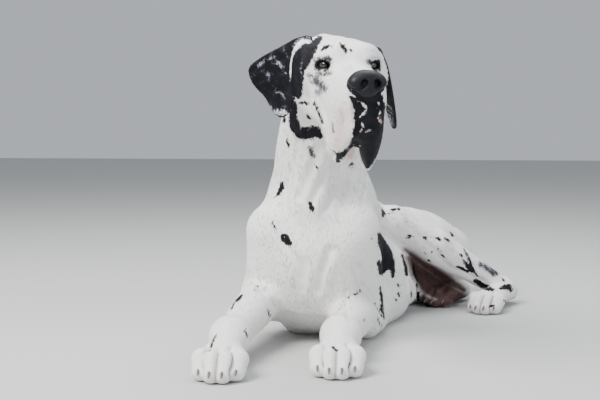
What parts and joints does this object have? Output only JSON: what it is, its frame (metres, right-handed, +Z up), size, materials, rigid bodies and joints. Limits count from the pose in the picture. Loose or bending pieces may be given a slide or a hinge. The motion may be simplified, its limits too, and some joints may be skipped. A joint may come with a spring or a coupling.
{
  "type": "lying great dane model",
  "caption": "Life-size still model of a great dane lying on its front with its head up, a white coat with torn black patches.",
  "frame": {"origin": "on the floor, under the middle of the model's own box", "axes": "+Z up, -Y the way the chest faces, +X the dog's left side"},
  "size_m": [0.64, 1.3156, 0.6325],
  "materials": {
    "coat": "short flat white fur with black patches",
    "ear": "short fine black fur mottled with grey",
    "nose_leather": "damp pebbled black leather",
    "eye": "wet dark brown",
    "claw": "smooth dark horn"
  },
  "bodies": {
    "root": {"ear_left": "ear", "ear_right": "ear", "eye_left": "eye", "eye_right": "eye", "foreleg_left": "coat", "foreleg_left_claw_1": "claw", "foreleg_left_claw_2": "claw", "foreleg_left_claw_3": "claw", "foreleg_left_claw_4": "claw", "foreleg_right": "coat", "foreleg_right_claw_1": "claw", "foreleg_right_claw_2": "claw", "foreleg_right_claw_3": "claw", "foreleg_right_claw_4": "claw", "head": "coat", "hindleg_left": "coat", "hindleg_left_claw_1": "claw", "hindleg_left_claw_2": "claw", "hindleg_left_claw_3": "claw", "hindleg_left_claw_4": "claw", "hindleg_right": "coat", "hindleg_right_claw_1": "claw", "hindleg_right_claw_2": "claw", "hindleg_right_claw_3": "claw", "hindleg_right_claw_4": "claw", "neck": "coat", "nose": "nose_leather", "tail": "coat", "torso": "coat"}
  },
  "joints": []
}
